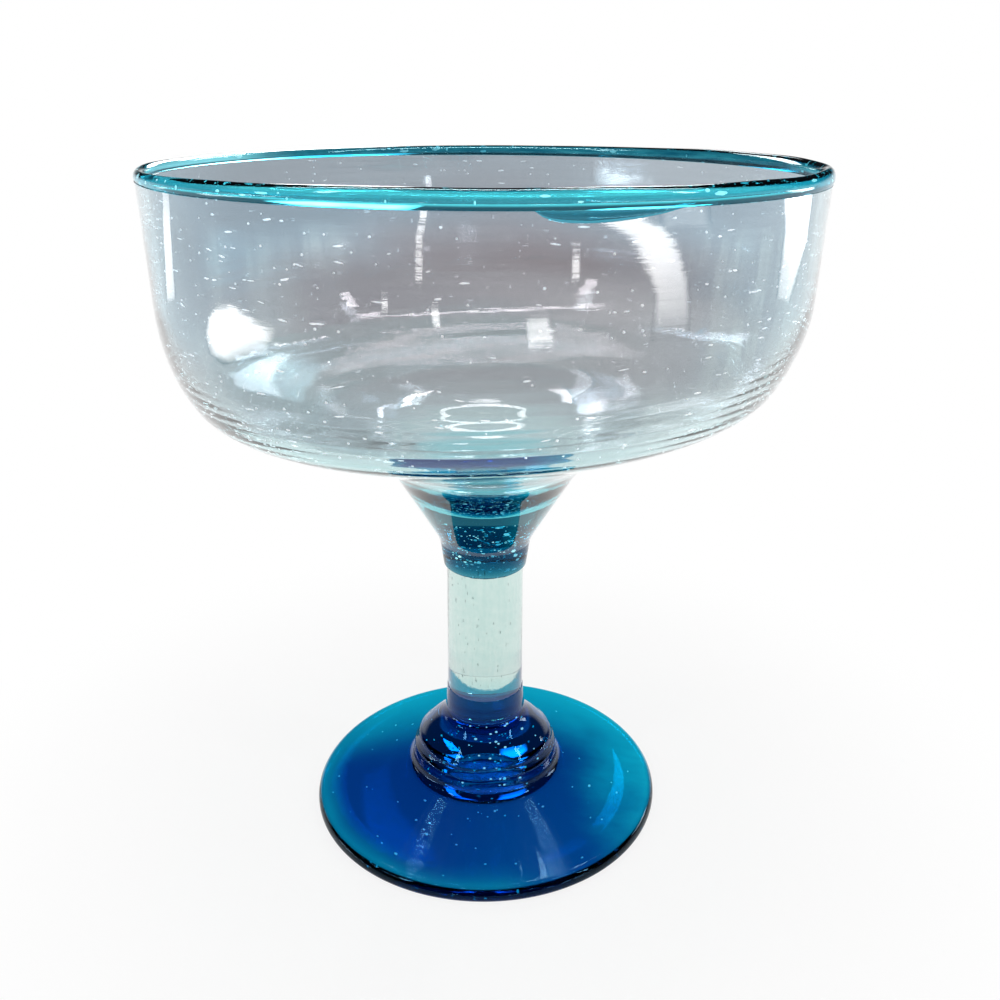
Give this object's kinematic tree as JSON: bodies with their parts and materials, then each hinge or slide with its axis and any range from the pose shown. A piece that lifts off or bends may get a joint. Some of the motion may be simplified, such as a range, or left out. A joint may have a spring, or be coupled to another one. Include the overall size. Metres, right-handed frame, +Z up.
{
  "type": "margarita glass",
  "caption": "Hand-blown stemmed glass with a wide deep bowl, coloured lip thread, coloured neck, clear rod, collar and domed foot.",
  "frame": {"origin": "centre of the foot's standing ring, on the table", "axes": "+Z up along the axis of the glass; -Y towards the viewer of the picture"},
  "size_m": [0.1332, 0.1332, 0.15],
  "materials": {
    "clear_glass": "polished by fire, full of small stretched bubbles, faint tool ripples",
    "turquoise_glass": "fire-polished thread with a few bubbles",
    "teal_glass": "deep coloured glass with many small bubbles",
    "pale_glass": "clear glass with a faint green cast",
    "blue_glass": "deep blue glass that runs to turquoise where it is thin"
  },
  "bodies": {
    "root": {"bowl": "clear_glass", "rim_thread": "turquoise_glass", "stem_neck": "teal_glass", "stem_rod": "pale_glass", "foot_collar": "blue_glass", "foot": "blue_glass", "pontil_scar": "blue_glass"}
  },
  "joints": []
}
